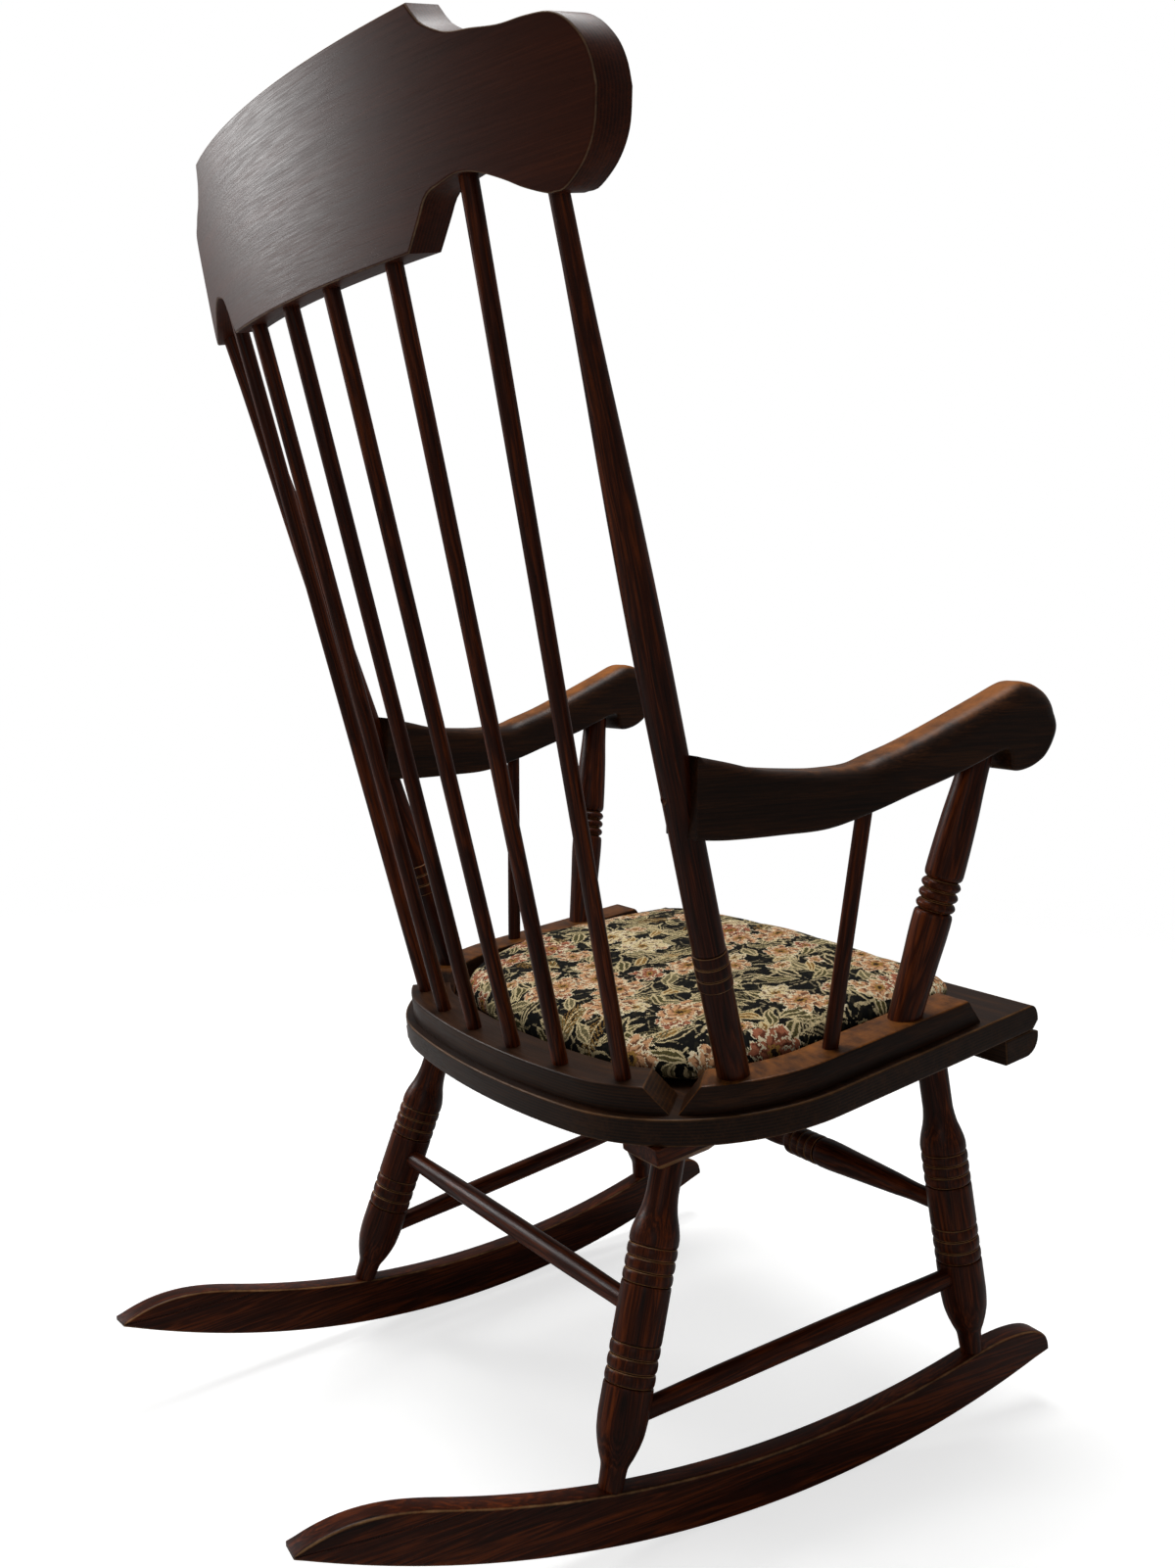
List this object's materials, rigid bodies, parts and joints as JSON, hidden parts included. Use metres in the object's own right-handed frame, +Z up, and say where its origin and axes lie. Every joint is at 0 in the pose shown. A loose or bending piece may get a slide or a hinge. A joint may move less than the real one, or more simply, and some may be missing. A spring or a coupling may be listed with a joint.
{
  "type": "rocking chair",
  "caption": "High-backed wooden rocking chair with a spindle back, bent crest board, scrolled arms, turned legs on curved rockers, and a loose zipped seat cushion.",
  "frame": {"origin": "on the floor, at the middle of the chair's bounding box", "axes": "+Z up, -Y the way the sitter faces, +X to the sitter's left"},
  "size_m": [0.641, 0.6862, 1.0753],
  "materials": {
    "walnut_stain": "dark walnut stain under satin lacquer",
    "seat_stain": "dark stained plywood under satin lacquer",
    "worn_stain": "walnut stain worn to an orange brown on top",
    "crest_stain": "dark stained bent board with fine lengthwise grain",
    "tapestry": "woven floral tapestry",
    "foam": "open cell foam",
    "zip_tape": "pale zip tape and teeth",
    "zip_metal": "die-cast zip slider",
    "screw_steel": "zinc plated"
  },
  "bodies": {
    "chair_frame": {"seat_board": "seat_stain", "front_roll": "seat_stain", "back_rail": "seat_stain", "side_rail_right": "worn_stain", "side_rail_left": "worn_stain", "crest_rail": "crest_stain", "back_post_right": "walnut_stain", "back_post_left": "walnut_stain", "back_spindle_1": "walnut_stain", "back_spindle_2": "walnut_stain", "back_spindle_3": "walnut_stain", "back_spindle_4": "walnut_stain", "back_spindle_5": "walnut_stain", "back_spindle_6": "walnut_stain", "arm_right": "worn_stain", "arm_left": "worn_stain", "arm_post_right": "walnut_stain", "arm_post_left": "walnut_stain", "arm_spindle_right": "walnut_stain", "arm_spindle_left": "walnut_stain", "leg_block_right": "walnut_stain", "leg_block_left": "walnut_stain", "leg_rear_right": "walnut_stain", "leg_rear_left": "walnut_stain", "leg_front_right": "walnut_stain", "leg_front_left": "walnut_stain", "rear_stretcher": "walnut_stain", "front_stretcher": "walnut_stain", "side_stretcher_right": "walnut_stain", "side_stretcher_left": "walnut_stain", "rocker_right": "walnut_stain", "rocker_left": "walnut_stain", "side_rail_screw_right_1": "screw_steel", "side_rail_screw_right_2": "screw_steel", "side_rail_screw_left_1": "screw_steel", "side_rail_screw_left_2": "screw_steel", "back_rail_screw_right": "screw_steel", "back_rail_screw_left": "screw_steel", "roll_screw_right": "screw_steel", "roll_screw_left": "screw_steel", "leg_block_screw_right": "screw_steel", "leg_block_screw_left": "screw_steel", "arm_screw_right": "screw_steel", "arm_screw_left": "screw_steel", "arm_plug_right": "walnut_stain", "arm_plug_left": "walnut_stain"},
    "cushion": {"cushion_cover": "tapestry", "cushion_foam": "foam", "zip_chain": "zip_tape"},
    "slider": {"zip_slider": "zip_metal"}
  },
  "joints": [
    {"name": "cushion_lift", "type": "slide", "parent": "chair_frame", "child": "cushion", "axis": [0, 0.1224, 0.9925], "range_m": [0, 0.2]},
    {"name": "zip_travel", "type": "hinge", "parent": "cushion", "child": "slider", "pos_m": [0, -0.70079, 0.41523], "axis": [0, 0.1224, 0.9925], "range_deg": [-16, 0]}
  ]
}
